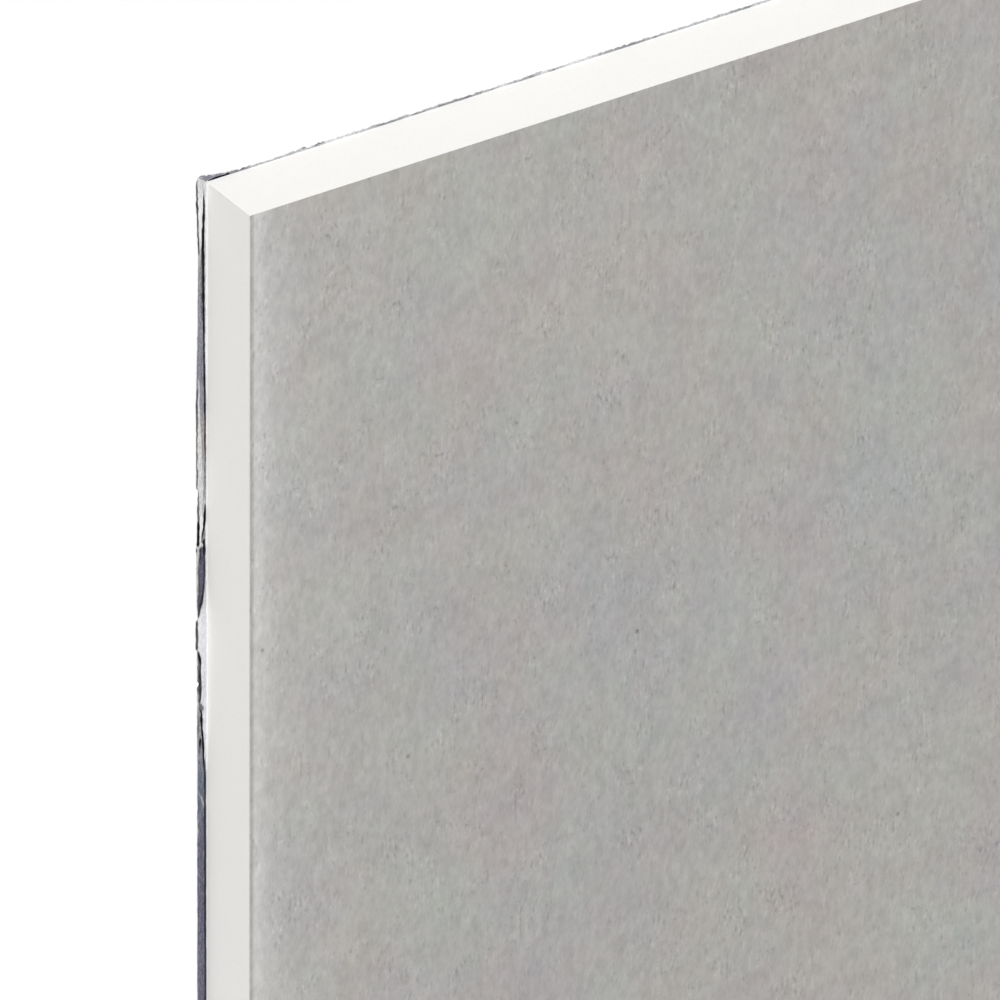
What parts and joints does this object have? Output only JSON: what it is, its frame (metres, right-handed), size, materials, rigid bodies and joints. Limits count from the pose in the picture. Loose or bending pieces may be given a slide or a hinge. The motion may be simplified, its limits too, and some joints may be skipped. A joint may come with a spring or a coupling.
{
  "type": "drywall sheet",
  "caption": "Foil-backed drywall sheet: a pale gypsum core with grey face paper, square cut edges and a metallised film on its back, lying flat face up.",
  "frame": {"origin": "middle of the underside, on the floor that the foil lies on", "axes": "+X along the sheet's length, +Y across its width, +Z out of the paper face"},
  "size_m": [2.403, 1.204, 0.0125],
  "materials": {
    "gypsum": "matt, bare, finely porous",
    "face_paper": "matt grey recycled paper, fibres along the length",
    "foil": "crumpled metallised film on a paper liner, dull silver"
  },
  "bodies": {
    "root": {"gypsum_core": "gypsum", "face_paper": "face_paper", "foil_backing": "foil"}
  },
  "joints": []
}
